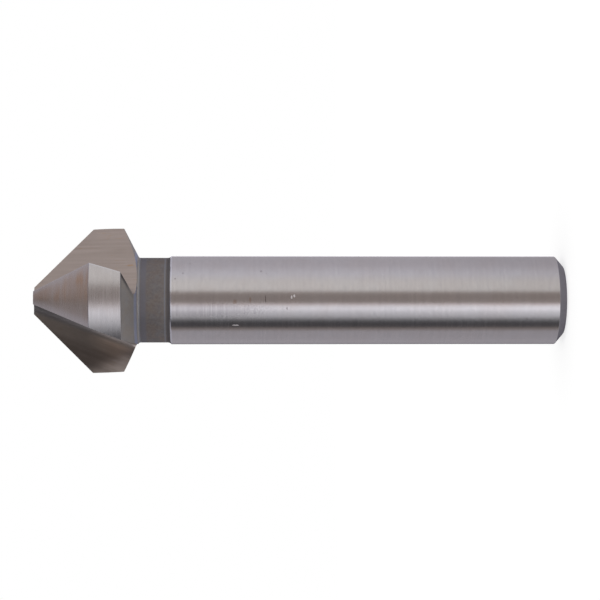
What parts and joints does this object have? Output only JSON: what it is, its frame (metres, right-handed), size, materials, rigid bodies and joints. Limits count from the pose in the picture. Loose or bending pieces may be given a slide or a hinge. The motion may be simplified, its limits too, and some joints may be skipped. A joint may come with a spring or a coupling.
{
  "type": "countersink bit",
  "caption": "Countersink bit: fluted conical cutting head with a short cylindrical land and a narrower neck, on a plain round shank for a drill chuck.",
  "frame": {"origin": "centre of the flat end face of the shank, on which the bit stands", "axes": "+Z along the axis from the shank's end to the tip; seen from the tip the bit cuts turning from +X towards +Y"},
  "size_m": [0.0163, 0.0154, 0.06],
  "materials": {
    "tool_steel": "ground bright on the shank and land, darker as-machined steel in the flutes and on the neck"
  },
  "bodies": {
    "root": {"countersink_bit": "tool_steel"}
  },
  "joints": []
}
